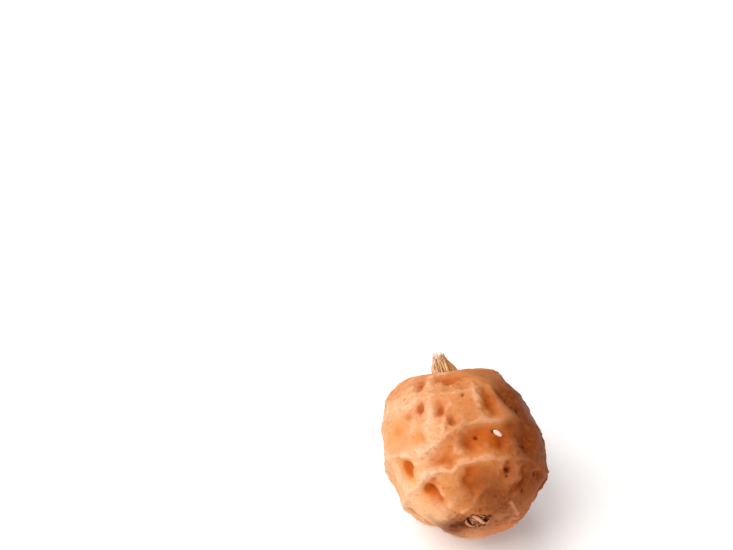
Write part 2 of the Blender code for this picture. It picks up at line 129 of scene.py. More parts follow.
# How deep the skin falls below each ring before it rises to the next one, as (lon, depth in mm) points
FALLS = (
    ((-70, 0.02), (-40, 0.05), (0, 0.08), (50, 0.05)),
    ((-74, 0.06), (-50, 0.08), (-30, 0.04), (-8, 0.05), (6, 0.12), (24, 0.06), (52, 0.08)),
    ((-76, 0.06), (-62, 0.12), (-42, 0.26), (-27, 0.06), (-14, 0.03), (4, 0.05), (16, 0.02), (30, 0.14),
     (44, 0.06), (60, 0.12), (76, 0.05)),
    ((-72, 0.14), (-57, 0.03), (-48, 0.18), (-38, 0.16), (-22, 0.24), (-10, 0.20), (-3, 0.14), (6, 0.40),
     (20, 0.34), (34, 0.36), (43, 0.14), (52, 0.30), (64, 0.16), (76, 0.04), (90, 0.14)),
    ((-78, 0.12), (-58, 0.08), (-44, 0.34), (-34, 0.26), (-22, 0.10), (-10, 0.16), (2, 0.22), (14, 0.16),
     (28, 0.14), (42, 0.12), (52, 0.24), (68, 0.14), (82, 0.06)),
    ((-50, 0.05), (0, 0.02), (40, 0.05)),
)
HIDDEN_GAP = (9, 17)
HIDDEN_DEEP = (0.22, 0.48)
HIDDEN_SHALLOW = (0.02, 0.12)
HIDDEN_SHARE = (0.3, 0.9, 1.0, 1.0, 0.9, 0.08)
FALL_SKEW = 0.7

# Hollows, or swellings where the depth is below zero: polar, lon, half length along the axis, half
# width, turn of the length towards the right in degrees, depth in mm
HOLLOWS = (
    (50, -24, 7, 5.0, 0, 0.32), (42, -56, 8, 3.5, 10, 0.26), (51, 2, 5, 8.0, 0, 0.30),
    (63, 10, 4, 5.0, 0, 0.15), (74, -24, 4.5, 3.0, 0, 0.26), (79, -9, 4.5, 3.6, 10, 0.34),
    (88, -3, 6.5, 3.0, 0, 0.36), (78, -46, 8, 9.0, 0, 0.14), (75, -33, 4, 4.0, 0, 0.12),
    (93, -25, 4.5, 5.5, 0, 0.30), (81, 25, 11, 6.5, 6, 0.38), (86, 46, 4, 3.5, 0, 0.16),
    (104, 4, 6, 4.0, 0, 0.20), (108, 26, 5, 4.5, 0, 0.28), (110, 51, 10, 8.0, 0, 0.44),
    (107, -48, 9, 4.2, -12, 0.46), (100, -47, 3, 5.0, 0, 0.20), (113, -18, 4.5, 8.0, 0, 0.26),
    (125, -40, 5, 6.0, 0, 0.44), (132, -37, 7, 3.8, 10, 0.22), (139, -28, 7, 9.0, 0, -0.30),
    (129, -17, 8, 7.0, 0, -0.10), (124, 4, 5, 9.0, 0, 0.10), (130, -3, 7, 4.5, 0, 0.14),
    (128, 32, 6, 3.2, 0, 0.22), (135, 48, 9, 3.0, 12, 0.42), (126, 70, 4, 5.0, 0, 0.32),
    (125, -92, 4, 8.0, 0, 0.24), (143, 30, 6, 12.0, 0, 0.12), (148, -15, 4, 6.0, 0, -0.14),
    (158, 38, 5, 22.0, 0, -0.18), (127, -106, 4, 8.0, 0, -0.40), (138, -114, 6, 12.0, 0, 0.56),
)
# Drawn hollows on the far sides, between these ends of polar, lon, half length, share of the half
# length that the half width is, turn and depth
HIDDEN_HOLLOWS = 30
HIDDEN_HOLLOW_ENDS = ((30, 150), (95, 275), (3.5, 9.0), (0.4, 0.9), (-40, 40), (0.10, 0.34))

# Ridges that leave the rings: height in mm, half width in degrees, (polar, lon) points
RIDGES = (
    (0.17, 2.0, ((136, 13), (140, 5), (144, -3), (148, -12), (149, -22))),
    (0.14, 2.6, ((72, 16), (82, 18), (91, 17))),
    (0.12, 2.6, ((66, 31), (75, 33), (83, 35), (91, 38))),
    (-0.20, 2.2, ((71, 38), (79, 39), (87, 42), (92, 48), (96, 55))),
    (-0.16, 1.8, ((123, -4), (128, -3), (134, -4), (140, -5))),
    (0.08, 2.0, ((123, 25), (129, 27))),
    (0.12, 2.0, ((72, -16), (81, -18), (88, -20), (94, -17))),
    (0.13, 1.8, ((80, -4), (86, -7), (93, -9))),
    (0.11, 2.4, ((124, 58), (122, 72), (127, 85))),
    (0.08, 2.8, ((106, -6), (118, -5))),
    (0.10, 2.6, ((96, 43), (106, 43), (118, 46))),
    (0.10, 3.4, ((92, -60), (106, -58), (118, -60))),
    (0.08, 3.0, ((140, 36), (134, 40), (124, 42))),
)

# Broad swellings and flats: polar, lon, share of the body's radius, half width
LUMPS = (
    (37, -57, 0.145, 25), (70, -88, -0.050, 18), (78, 86, -0.130, 33), (100, -94, -0.070, 28),
    (10, -15, -0.110, 25), (180, 0, -0.050, 26), (139, -116, -0.060, 20), (126, 106, -0.018, 22),
    (42, 60, 0.036, 18), (66, 165, 0.030, 30), (88, -30, 0.015, 16),
)

NOISE_SIZE = 1.7 * MM
NOISE_HEIGHT = 0.10 * MM
REST_CLEAR = (13.0, 27.0)
SWAY = 7.0
RING_SWAY = 32.0
BENDS = ((0.075, 5.0), (0.026, 13.0))
BEND_SHIFTS = ((1, 0, 7), (4, 9, 2), (8, 3, 5))

# Eyes that show in the skin as small pits, darkened by painted shade: polar, lon, half width in degrees,
# depth in mm
EYES = (
    (54, -23, 2.2, 0.05), (80, -8, 2.6, 0.05), (75, -23, 1.8, 0.04), (86, -3, 1.6, 0.05),
    (92, -1, 1.3, 0.05), (94, -26, 1.8, 0.04), (55, -37, 1.4, 0.07), (59, -35, 1.1, 0.06),
    (67, -57, 1.3, 0.10), (75, -34, 1.2, 0.06), (104, 9, 1.9, 0.16), (101, 22, 1.5, 0.12),
    (107, 3, 1.1, 0.06), (113, -47, 1.4, 0.08), (123, 31, 1.7, 0.10), (128, 32, 2.2, 0.20),
    (132, 31, 1.4, 0.14), (127, 65, 2.4, 0.16), (125, 79, 2.0, 0.14), (141, 57, 1.8, 0.18),
    (86, 46, 1.9, 0.18), (83, 42, 1.2, 0.12), (70, 41, 1.1, 0.08), (111, 50, 2.2, 0.10),
    (60, 2, 1.3, 0.08), (72, 8, 1.7, 0.11), (73, 7, 0.9, 0.05), (125, -40, 1.6, 0.08),
    (137, -36, 1.2, 0.06), (146, 22, 1.3, 0.08), (133, 14, 1.1, 0.06), (118, 36, 1.2, 0.08),
    (96, 62, 1.6, 0.10), (149, -34, 1.4, 0.07), (162, -52, 6.5, 0.15), (158, -66, 4.5, 0.12),
    (163, 14, 3.4, 0.12),
)
# Dark stains and painted shade round the root end: polar, lon, radius in degrees, strength
STAINS = (
    (163, -52, 12, 1.0), (158, -80, 13, 1.0), (156, -104, 11, 0.75), (163, 14, 5, 0.6),
    (174, 10, 16, 0.35), (165, 73, 8, 0.4), (147, 74, 12, 0.35), (152, 20, 12, 0.3), (126, -92, 7, 0.3),
)

# Patches of browner or, below zero, paler skin, added to the side mask: polar, lon, radius in degrees,
# amount. The two at the upper left, at (66, -88) and (38, -55), are a painted cast shadow.
PATCHES = (
    (140, 12, 17, 0.24), (132, 2, 9, 0.10), (86, -62, 20, -0.30), (66, -88, 16, 0.30),
    (38, -55, 15, 0.26), (118, -62, 16, -0.06), (112, -12, 14, 0.08), (134, -20, 14, 0.22),
    (118, 0, 18, 0.10), (74, 34, 9, 0.16), (172, -10, 20, 0.22),
)

# Edges of torn skin: half width in degrees, (polar, lon) points
TORN_EDGES = (
    (0.8, ((90, -13), (94, -10), (97, -12), (96, -17), (98, -21))),
    (0.7, ((98, -9), (101, -12), (100, -18))),
    (0.7, ((92, -6), (96, -4), (99, -5))),
    (1.8, ((150, 46), (153, 54), (155, 69), (156, 92))),
    (2.0, ((156, 96), (158, 94), (160, 84), (162, 84), (163, 98))),
    (0.7, ((54, -38), (57, -35), (60, -38))),
    (1.2, ((168, -75), (172, -62), (176, -40))),
    (1.4, ((172, 17), (175, -34), (173, -70))),
)
# Drawn eyes on the far sides, between these ends of polar, lon, half width and depth
HIDDEN_EYES = 46
HIDDEN_EYE_ENDS = ((28, 155), (78, 280), (1.0, 2.2), (0.05, 0.15))
# Depth in mm from which an eye's painted shade is black
BLACK_EYE = 0.12
# Drawn pores: ends of polar, lon and half width in degrees, then of depth in mm and darkness
PORES = 150
PORE_ENDS = ((22, 165), (-180, 180), (0.5, 0.95), (0.02, 0.05), (0.25, 0.8))

# Rough skin: share, polar, lon, radius in degrees
ROUGH_PLACES = ((0.8, 97, -14, 13), (0.6, 52, -38, 12), (0.9, 156, 42, 13))
ROUGH_SCAR = 17
# Noise scales of the fine relief
FOLDS, WRINKLES, GROOVES, GRIT, SCAR_FOLDS = 9, 19, 26, 42, 14
# How far the folds and the eyes' outlines wander: size, noise scale and shifts
WARP = (0.05, 5, ((1, 2, 3), (4, 5, 6), (7, 8, 9)))
CROOKED = (0.014, 24, ((1, 5, 3), (4, 2, 6), (7, 8, 2)))
# Heights above and below the skin round about that count as a full ridge and a full crease, and the
# depth that counts as the bottom of a hollow
FULL_RIDGE, FULL_CREASE, FULL_DEPTH = 0.12 * MM, 0.22 * MM, 0.55 * MM


def smooth(x):
    """A smooth step from 0 to 1 as x goes from 0 to 1."""
    x = np.clip(x, 0.0, 1.0)
    return x * x * (3 - 2 * x)


def directions(polar, lon):
    """Unit vectors for arrays of polar and lon, in degrees, on a tuber that doesn't lean."""
    p, o = np.radians(polar), np.radians(lon)
    across = np.outer(np.cos(o), FACE) + np.outer(np.sin(o), SIDE)
    return np.cos(p)[:, None] * np.array(STALK_WAY) + np.sin(p)[:, None] * across


def place(polar, lon):
    """The direction of one place on the skin."""
    return directions(np.array([polar]), np.array([lon]))[0]


def unit(ways):
    """The same directions with length 1."""
    return ways / np.linalg.norm(ways, axis=1)[:, None]


def lean(ways, share):
    """Turns directions towards the scar by that share of SCAR_LEAN."""
    towards = FACE * math.cos(SCAR_LON) + SIDE * math.sin(SCAR_LON)
    axis = np.array(ROOT_WAY.cross(towards))
    angle = SCAR_LEAN * share[:, None]
    along = (ways @ axis)[:, None] * axis
    return along + (ways - along) * np.cos(angle) + np.cross(axis, ways) * np.sin(angle)


def scar_way():
    """Direction from the body's middle to the root scar."""
    return Vector(lean(np.array([ROOT_WAY]), np.array([1.0]))[0])


def along_ring(points, lon):
    """Value at each lon between points given as (lon, value), its corners rounded a little."""
    lons, values = zip(*points)
    turned = [np.interp(lon + shift, lons, values, period=360) for shift in (-3, -1, 1, 3)]
    return sum(turned) / len(turned)


def whole_round(falls, draw, share):
    """The listed depths, then drawn ones, by turns deep and shallow, until the band closes."""
    placed = list(falls)
    end = placed[0][0] + 360
    lon = placed[-1][0] + draw.uniform(*HIDDEN_GAP)
    ranges = [HIDDEN_DEEP, HIDDEN_SHALLOW]
    while lon < end - HIDDEN_GAP[0]:
        placed.append((lon, share * draw.uniform(*ranges[0])))
        lon += draw.uniform(*HIDDEN_GAP)
        ranges.reverse()
    return placed


def hidden_hollows(draw):
    """Hollows on the sides away from the face, at drawn places."""
    made = []
    for _ in range(HIDDEN_HOLLOWS):
        polar, lon, length, share, turn, depth = (draw.uniform(*ends) for ends in HIDDEN_HOLLOW_ENDS)
        made.append((polar, lon, length, length * share, turn, depth))
    return made


def body_pattern():
    """How deep the skin falls in each band, and every hollow."""
    draw = random.Random(SEED)
    bands = [whole_round(falls, draw, share) for falls, share in zip(FALLS, HIDDEN_SHARE)]
    return bands, list(HOLLOWS) + hidden_hollows(draw)


def every_eye():
    """The listed eyes and those drawn for the far sides."""
    draw = random.Random(SEED + 5)
    eyes = list(EYES)
    for _ in range(HIDDEN_EYES):
        eyes.append(tuple(draw.uniform(*ends) for ends in HIDDEN_EYE_ENDS))
    return eyes


def hollow_depth(hollows, ways):
    """Depth in metres of the hollows at each direction."""
    total = np.zeros(len(ways))
    for polar, lon, length, width, turn, depth in hollows:
        centre = place(polar, lon)
        along = np.array(ROOT_WAY) - centre * (centre @ np.array(ROOT_WAY))
        along /= np.linalg.norm(along)
        across = np.cross(centre, along)
        angle = math.radians(turn)
        c, s = math.cos(angle), math.sin(angle)
        along, across = along * c - across * s, across * c + along * s
        a = np.degrees(np.arctan2(ways @ along, ways @ centre)) / length
        b = np.degrees(np.arctan2(ways @ across, ways @ centre)) / width
        total += depth * MM * np.exp(-((a * a + b * b) ** 0.95)) * (ways @ centre > 0)
    return total


def crest(off, half_width):
    """A crease's height at degrees from its line: sharp on the line, falling off on both sides."""
    return np.exp((CREST_TIP - np.hypot(off, CREST_TIP)) / half_width)


def line_distances(ways, line):
    """Degrees from each direction to every stretch of a line of (polar, lon) corners, one by one."""
    corners = directions(*np.array(line, float).T)
    for start, end in zip(corners, corners[1:]):
        step = end - start
        share = np.clip((ways - start) @ step / (step @ step), 0, 1)
        yield np.degrees(np.linalg.norm(ways - start - share[:, None] * step, axis=1))


def ridge_height(ways):
    """Height in metres of the ridges that leave the rings, at each direction."""
    return sum(height * MM * crest(np.minimum.reduce(list(line_distances(ways, line))), half_width)
               for height, half_width, line in RIDGES)


def angle_from(ways, centre):
    """Degrees between each direction and one centre."""
    return np.degrees(np.arccos(np.clip(ways @ np.array(centre), -1, 1)))


def spot(ways, centre, radius):
    """1 at the centre, falling off softly over a radius in degrees."""
    return np.exp(-((angle_from(ways, centre) / radius) ** 2))


def lump_share(ways):
    """Share of the body's radius that the broad swellings and flats add at each direction."""
    return sum(share * spot(ways, place(polar, lon), width) for polar, lon, share, width in LUMPS)


def field(ways, scale, shift=(0, 0, 0)):
    """Soft noise from about -1 to 1 at each direction."""
    return np.array([noise.noise(point) for point in (ways * scale + np.array(shift)).tolist()])


def fields(ways, size, scale, shifts):
    """Soft noise of that size in three directions at once, one for each shift."""
    return size * np.stack([field(ways, scale, shift) for shift in shifts], axis=1)


def rest_fade(ways):
    """0 on the spot that the nut rests on, 1 away from it."""
    return smooth((angle_from(ways, DOWN) - REST_CLEAR[0]) / (REST_CLEAR[1] - REST_CLEAR[0]))


def main_relief(polar, lon, ways, bands, hollows):
    """Height of the rings, ridges and hollows over the plain body."""
    lines = [along_ring(ring, lon) for ring in RINGS]
    bend = sum(fields(ways, size, scale, BEND_SHIFTS) for size, scale in BENDS)
    bent = unit(ways + bend)
    swayed = lon + SWAY * field(ways, 2.6, (3, 1, 7))
    polar = polar + RING_SWAY * bend[:, 0]
    relief = np.zeros(len(polar))
    for band, falls in enumerate(bands):
        share = np.clip((polar - lines[band]) / (lines[band + 1] - lines[band]), 0, 1)
        relief -= np.sin(np.pi * share ** FALL_SKEW) * along_ring(falls, swayed) * MM
    for line, heights in zip(lines, CRESTS):
        off = polar - line
        above, below = CREST_HALF_WIDTH
        relief += along_ring(heights, lon) * MM * crest(off, np.where(off < 0, above, below))
    relief += NOISE_HEIGHT * field(ways, BODY_RADIUS / NOISE_SIZE) + ridge_height(bent)
    return relief - hollow_depth(hollows, bent)


def torn_edges(ways, beside=0.0):
    """1 along the edges of torn skin, or that many half widths beside them, 0 away from there."""
    return np.maximum.reduce([np.exp(-np.abs(away / half_width - beside) * 1.2)
                              for half_width, line in TORN_EDGES for away in line_distances(ways, line)])


def fine_relief(polar, lon, ways, settings):
    """Folds, wrinkles, eyes and pores: the height, and the masks of the eyes' painted shade with the pores'
    dark specks, of rough skin and of torn edges.
    """
    lines = [along_ring(ring, lon) for ring in RINGS]
    patch = smooth(field(ways, 2.2, (9, 4, 2)) * 1.3 + 0.45)
    at_scar = spot(ways, scar_way(), ROUGH_SCAR)
    rough = 0.25 * patch + at_scar
    for share, rough_polar, rough_lon, radius in ROUGH_PLACES:
        rough = rough + share * spot(ways, place(rough_polar, rough_lon), radius)
    rough = np.clip(rough, 0, 1)

    bent = ways + fields(ways, *WARP)
    folds = 1 - np.abs(field(bent, FOLDS, (2, 0, 5))) * 2.6
    wrinkles = 1 - np.abs(field(bent, WRINKLES, (0, 6, 1))) * 2.6
    grooves = 1 - np.abs(field(bent * np.array([1, 0.25, 0.5]), GROOVES, (5, 5, 0))) * 2.4
    height = settings.fold_height * (0.35 + 0.65 * patch) * (folds - 0.5)
    height += settings.wrinkle_height * (0.18 + 1.5 * rough) * (wrinkles - 0.5)
    height += settings.wrinkle_height * (0.15 + 0.5 * rough) * (grooves - 0.5)
    height += settings.wrinkle_height * 0.9 * rough * field(ways, GRIT, (3, 3, 3))
    height += settings.scar_height * at_scar * (1 - np.abs(field(bent, SCAR_FOLDS, (3, 7, 7))) * 3)

    ragged = 0.55 + 0.9 * field(ways, 11, (8, 1, 1))
    for line, size in zip(lines[1:5], (0.35, 0.8, 1.0, 1.0)):
        off = (polar - line + 1.1 * field(ways, 13, (6, 2, 8))) / 0.95
        height += settings.ring_edge * size * np.clip(ragged, 0, 1.3) * np.exp(-off * off)

    eye_shade_and_speck_mask = np.zeros(len(polar))
    crooked = unit(ways + fields(ways, *CROOKED))
    edges = torn_edges(crooked)
    uneven = 0.6 + 0.9 * np.abs(field(ways, 30, (2, 9, 9)))
    height += settings.torn_height * (edges - 0.6 * torn_edges(crooked, 1.6)) * uneven
    rough = np.clip(rough + 0.8 * edges, 0, 1)
    for eye_polar, eye_lon, width, depth in every_eye():
        hollow = spot(crooked, place(eye_polar, eye_lon), width)
        height -= depth * MM * hollow
        # Painted shade in the eyes, darker the deeper they are; the pores below add dark specks of their
        # own.
        eye_shade_and_speck_mask = np.maximum(eye_shade_and_speck_mask, hollow * min(1, depth / BLACK_EYE))
    draw = random.Random(SEED + 9)
    for _ in range(PORES):
        pore_polar, pore_lon, width, depth, darkness = (draw.uniform(*ends) for ends in PORE_ENDS)
        hollow = spot(ways, place(pore_polar, pore_lon), width)
        height -= depth * MM * hollow
        eye_shade_and_speck_mask = np.maximum(eye_shade_and_speck_mask, darkness * hollow)
    return height, eye_shade_and_speck_mask, rough, edges


def skin_points(polar, lon, settings):
    """Points of the skin at arrays of polar and lon, with the values that its colours follow."""
    towards_scar = smooth((polar - LEAN_FROM) / (ROOT_POLAR - LEAN_FROM))
    ways = lean(directions(polar, lon), towards_scar)
    relief = main_relief(polar, lon, ways, *body_pattern())
    fine, eyes, rough, edges = fine_relief(polar, lon, ways, settings)
    fade = rest_fade(ways)
    radius = BODY_RADIUS * (1 + lump_share(ways)) + (relief + fine) * fade
    points = np.array(MIDDLE) + ways * radius[:, None]
    points[:, 2] = np.maximum(points[:, 2], 0)
    return points, (relief + fine) * fade, eyes * fade, rough, edges


def round_row(way, height, radius, lon, share_of_lean, unevenness=1.0):
    """Points of an uneven circle round an axis, at a height from the body's middle."""
    across = np.outer(np.cos(np.radians(lon)), FACE) + np.outer(np.sin(np.radians(lon)), SIDE)
    across = lean(across, np.full(len(lon), share_of_lean))
    waves = 0.07 * np.sin(np.radians(3 * lon + 40)) + 0.04 * np.sin(np.radians(7 * lon))
    return np.array(MIDDLE) + np.array(way) * height + across * (radius * (1 + unevenness * waves))[:, None]


def blurred(grid, rows, columns):
    """A grid's mean over a few rows and columns each way."""
    padded = np.pad(grid, ((rows, rows), (0, 0)), mode="edge")
    total = sum(padded[i:i + len(grid)] for i in range(2 * rows + 1)) / (2 * rows + 1)
    return sum(np.roll(total, i, axis=1) for i in range(-columns, columns + 1)) / (2 * columns + 1)


def grid_object(name, rows, first, last):
    """A closed mesh from rows of points, closed at both ends by a fan to one point."""
    count, length = len(rows), len(rows[0])
    points = np.concatenate([*rows, [first], [last]])
    here = np.arange(length)
    after = (here + 1) % length
    faces = []
    for row in range(count - 1):
        upper, lower = row * length, (row + 1) * length
        faces += np.stack([upper + here, upper + after, lower + after, lower + here], axis=1).tolist()
    top, bottom = count * length, count * length + 1
    faces += np.stack([np.full(length, top), after, here], axis=1).tolist()
    end = (count - 1) * length
    faces += np.stack([np.full(length, bottom), end + here, end + after], axis=1).tolist()
    mesh = bpy.data.meshes.new(name)
    mesh.from_pydata(points.tolist(), [], faces)
    mesh.validate()
    if signed_volume(mesh) < 0:
        mesh.flip_normals()
    mesh.shade_smooth()
    return linked(name, mesh)


def signed_volume(mesh):
    """The mesh's volume, below zero where its faces point inwards."""
    mesh.calc_loop_triangles()
    points = np.empty(len(mesh.vertices) * 3)
    mesh.vertices.foreach_get("co", points)
    corners = np.empty(len(mesh.loop_triangles) * 3, int)
    mesh.loop_triangles.foreach_get("vertices", corners)
    a, b, c = points.reshape(-1, 3)[corners.reshape(-1, 3)].transpose(1, 0, 2)
    return float(np.einsum("ij,ij->", a, np.cross(b, c)) / 6)


def linked(name, mesh):
    """An object of that mesh, in the scene."""
    obj = bpy.data.objects.new(name, mesh)
    bpy.context.scene.collection.objects.link(obj)
    return obj


def add_values(mesh, name, values):
    """Stores one number for each point of the mesh."""
    layer = mesh.attributes.new(name, "FLOAT", "POINT")
    layer.data.foreach_set("value", np.asarray(values, np.float32))


# Shader building


def new_material(name):
    """A material, its node tree and its Principled shader."""
    material = bpy.data.materials.new(name)
    material.use_nodes = True
    return material, material.node_tree, material.node_tree.nodes["Principled BSDF"]


def fill(tree, made, inputs):
    """Joins or sets a node's inputs."""
    for key, value in inputs.items():
        socket = made.inputs[key]
        if isinstance(value, bpy.types.NodeSocket):
            tree.links.new(value, socket)
        else:
            socket.default_value = value


def node(tree, kind, inputs=None, **settings):
    """Adds a node, sets it, and joins or sets its inputs."""
    made = tree.nodes.new(kind)
    for key, value in settings.items():
        setattr(made, key, value)
    fill(tree, made, inputs or {})
    return made


def mask_range(tree, value, low, high, to_low=0.0, to_high=1.0):
    """Maps a value from low..high to to_low..to_high, smoothly."""
    inputs = {"Value": value, "From Min": low, "From Max": high, "To Min": to_low, "To Max": to_high}
    return node(tree, "ShaderNodeMapRange", inputs, interpolation_type="SMOOTHSTEP").outputs[0]


def mix(tree, factor, a, b):
    """Mixes two colours."""
    made = node(tree, "ShaderNodeMix", {"Factor": factor}, data_type="RGBA")
    a, b = (value if isinstance(value, bpy.types.NodeSocket) else (*value[:3], 1) for value in (a, b))
    fill(tree, made, {6: a, 7: b})
    return made.outputs[2]


def math_node(tree, operation, a, b):
    return node(tree, "ShaderNodeMath", {0: a, 1: b}, operation=operation).outputs[0]


def times(tree, a, b):
    return math_node(tree, "MULTIPLY", a, b)


def grain_bump(tree, grain, strength, distance):
    """The shading normal that the fine grain gives."""
    inputs = {"Height": grain["Grain"], "Strength": strength, "Distance": distance}
    return node(tree, "ShaderNodeBump", inputs).outputs[0]


def value_of(tree, name):
    return node(tree, "ShaderNodeAttribute", attribute_name=name, attribute_type="GEOMETRY").outputs["Fac"]


def shared_group(name, build):
    """The node group of that name, built when it is first asked for."""
    return bpy.data.node_groups.get(name) or build(name)


def dry_grain_group(name):
    """Shared by every finish: fine grain as a height, and slow mottling as a mask."""
    group = bpy.data.node_groups.new(name, "ShaderNodeTree")
    face = group.interface
    for label, default in (("Grain Scale", 9000.0), ("Mottle Scale", 420.0)):
        face.new_socket(label, in_out="INPUT", socket_type="NodeSocketFloat").default_value = default
    for label in ("Grain", "Mottle", "Specks"):
        face.new_socket(label, in_out="OUTPUT", socket_type="NodeSocketFloat")
    start = group.nodes.new("NodeGroupInput")
    end = group.nodes.new("NodeGroupOutput")
    point = node(group, "ShaderNodeTexCoord").outputs["Object"]

    def soft_noise(scale, detail, roughness):
        inputs = {"Vector": point, "Scale": scale, "Detail": detail, "Roughness": roughness}
        return node(group, "ShaderNodeTexNoise", inputs).outputs["Fac"]

    mottle = soft_noise(start.outputs[1], 4.0, 0.55)
    specks = soft_noise(times(group, start.outputs[0], 0.36), 1.0, 0.5)
    fill(group, end, {"Grain": soft_noise(start.outputs[0], 3.0, 0.6),
                      "Mottle": mask_range(group, mottle, 0.36, 0.66),
                      "Specks": mask_range(group, specks, 0.66, 0.76)})
    return group


def grain_in(tree, grain_scale, mottle_scale):
    """Places the shared grain in a material with its own scales."""
    made = node(tree, "ShaderNodeGroup", node_tree=shared_group("dry_grain", dry_grain_group))
    fill(tree, made, {"Grain Scale": grain_scale, "Mottle Scale": mottle_scale})
    return made.outputs


def skin_material(settings):
    """Waxy dried skin, dull at the scar. Its colour holds painted light and shade: paler on the side
    towards the key light, and on the ridges and torn edges partly as painted highlight; darker and redder
    in the hollows, creases and eyes, and browner on the side away from the key light, as painted shade;
    dark stains with painted shade round the scar.
    """
    material, tree, shader = new_material("dried_skin")
    grain = grain_in(tree, grain_scale=8200.0, mottle_scale=330.0)
    broad = grain_in(tree, grain_scale=2600.0, mottle_scale=130.0)
    ridge, deep, eye, rough, scar, side, edge = (
        value_of(tree, name) for name in ("ridge", "deep", "eye", "rough", "scar", "side", "edge"))

    def ramp(value, *ends):
        return mask_range(tree, value, *ends)

    # Hollow colour: painted shade, lighter amber towards the key light and deep red away from it and in the
    # deepest places.
    hollow_shade_mix = math_node(tree, "MAXIMUM", ramp(side, 0.05, 0.32), ramp(deep, 0.45, 0.85))
    hollow = mix(tree, hollow_shade_mix, settings.lit_hollow_colour, settings.hollow_shade_and_mottle_colour)
    # Crease colour: painted shade, deeper on the side away from the key light.
    crease = mix(tree, ramp(side, 0.15, 0.55), hollow, settings.crease_shade_and_grain_colour)
    # Paler towards the key light: painted light.
    colour = mix(tree, ramp(side, 0.2, 0.6), settings.lit_side_colour, settings.skin_colour)
    for mask, strength, layer in (
        # Painted shade in the hollows, fuller the deeper they are.
        (ramp(deep, 0.0, 0.85), 1.0, hollow),
        (broad["Mottle"], 0.4, settings.hollow_shade_and_mottle_colour),
        # Paler crests: partly real, partly painted highlight, strong on the side towards the key light and
        # faint away from it.
        (ramp(ridge, 0.15, 1.0), ramp(side, 0.35, 0.85, 0.65, 0.15), settings.ridge_highlight_and_fleck_colour),
        (times(tree, rough, grain["Mottle"]), 0.36, settings.ridge_highlight_and_fleck_colour),
        # Painted shade in the creases, where the skin lies below its surroundings.
        (ramp(times(tree, ridge, -1.0), 0.05, 1.0), 0.75, crease),
        # Browner away from the key light: painted shade.
        (ramp(side, 0.54, 1.0), 0.95, settings.shaded_side_colour),
        (ramp(grain["Grain"], 0.42, 0.62), 0.10, settings.crease_shade_and_grain_colour),
        (ramp(broad["Grain"], 0.48, 0.66), 0.35, hollow),
        # Darker round the root end: real stains and painted shade.
        (scar, 0.95, settings.scar_colour),
        # Paler along the torn edges: painted highlight on their raised rims.
        (ramp(edge, 0.25, 1.0), 0.26, settings.ridge_highlight_and_fleck_colour),
        (grain["Specks"], 0.35, settings.crease_shade_and_grain_colour),
        # Painted shade in the eyes and the pores' dark specks.
        (ramp(eye, 0.3, 1.0), 0.85, settings.eye_shade_and_speck_colour),
    ):
        colour = mix(tree, times(tree, mask, strength), colour, layer)
    dull = ramp(math_node(tree, "ADD", rough, times(tree, grain["Mottle"], 0.5)), 0.0, 1.4, 0.50, 0.75)
    fill(tree, shader, {
        "Base Color": colour, "Roughness": dull, "Normal": grain_bump(tree, grain, 0.42, 0.03 * MM),
        "Specular IOR Level": 0.05, "Subsurface Weight": 0.3, "Subsurface Radius": (1.0, 0.38, 0.16),
        "Subsurface Scale": 0.6 * MM})
    return material


def fibre_material(name, pale, dark, roughness):
    """Dry fibre: each strand has its own tone, darker at its foot."""
    material, tree, shader = new_material(name)
    grain = grain_in(tree, grain_scale=16000.0, mottle_scale=1500.0)
    tone, along = value_of(tree, "tone"), value_of(tree, "along")
    colour = mix(tree, mask_range(tree, tone, 0.0, 1.0), dark, pale)
    for mask in (mask_range(tree, along, 0.0, 0.4, 0.25, 0.0), times(tree, grain["Mottle"], 0.2)):
        colour = mix(tree, mask, colour, dark)
    fill(tree, shader, {"Base Color": colour, "Roughness": roughness, "Specular IOR Level": 0.15,
                        "Normal": grain_bump(tree, grain, 0.3, 0.01 * MM)})
    return material


# Geometry node trees


def new_tree(name, sockets, result):
    """An empty geometry node tree: the tree, its inputs by name and its output node."""
    tree = bpy.data.node_groups.new(name, "GeometryNodeTree")
    for label, kind, default in sockets:
        made = tree.interface.new_socket(label, in_out="INPUT", socket_type="NodeSocket" + kind)
        if default is not None:
            made.default_value = default
    tree.interface.new_socket(result, in_out="OUTPUT", socket_type="NodeSocketGeometry")
    start, end = tree.nodes.new("NodeGroupInput"), tree.nodes.new("NodeGroupOutput")
    return tree, {socket.name: socket for socket in start.outputs}, end


def geometry(tree, kind, inputs):
    """The result of a new geometry node."""
    return node(tree, "GeometryNode" + kind, inputs).outputs[0]


def named(tree, label, kind="FLOAT"):
    """Reads a value that is stored on each point."""
    return node(tree, "GeometryNodeInputNamedAttribute", {"Name": label}, data_type=kind).outputs[0]


def shaken(tree, shape, seed, scale, detail, reach):
    """Moves each point by noise, by up to half the reach."""
    point = geometry(tree, "InputPosition", {})
    inputs = {"Vector": point, "W": seed, "Scale": scale, "Detail": detail}
    wave = node(tree, "ShaderNodeTexNoise", inputs, noise_dimensions="4D").outputs["Color"]
    half = (0.5, 0.5, 0.5)
    centred = node(tree, "ShaderNodeVectorMath", {0: wave, 1: half}, operation="SUBTRACT").outputs[0]
    offset = node(tree, "ShaderNodeVectorMath", {0: centred, "Scale": reach}, operation="SCALE").outputs[0]
    return geometry(tree, "SetPosition", {"Geometry": shape, "Offset": offset})


